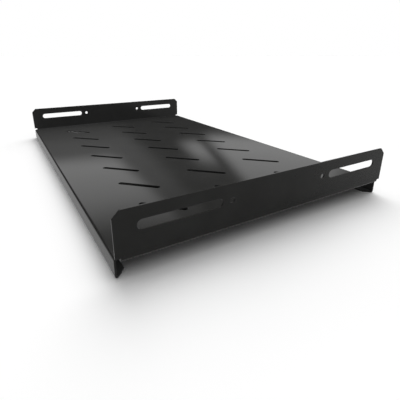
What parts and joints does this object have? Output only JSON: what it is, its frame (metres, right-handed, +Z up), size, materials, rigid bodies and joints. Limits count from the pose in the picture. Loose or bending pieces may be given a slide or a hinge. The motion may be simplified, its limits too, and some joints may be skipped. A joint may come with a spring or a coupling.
{
  "type": "rack shelf",
  "caption": "Fixed rack shelf folded from sheet steel: flat vented tray, upturned side flanges with long mounting slots, front and rear lips folded back under it with mitred ends.",
  "frame": {"origin": "middle of the footprint, on the plane that the two returns under the lips stand on", "axes": "+X across the rack, from the left flange to the right one; +Y from the front lip to the rear lip; +Z up"},
  "size_m": [0.485, 0.3, 0.0535],
  "materials": {
    "black_powder_coat": "semi-gloss powder coat"
  },
  "bodies": {
    "root": {"shelf": "black_powder_coat"}
  },
  "joints": []
}
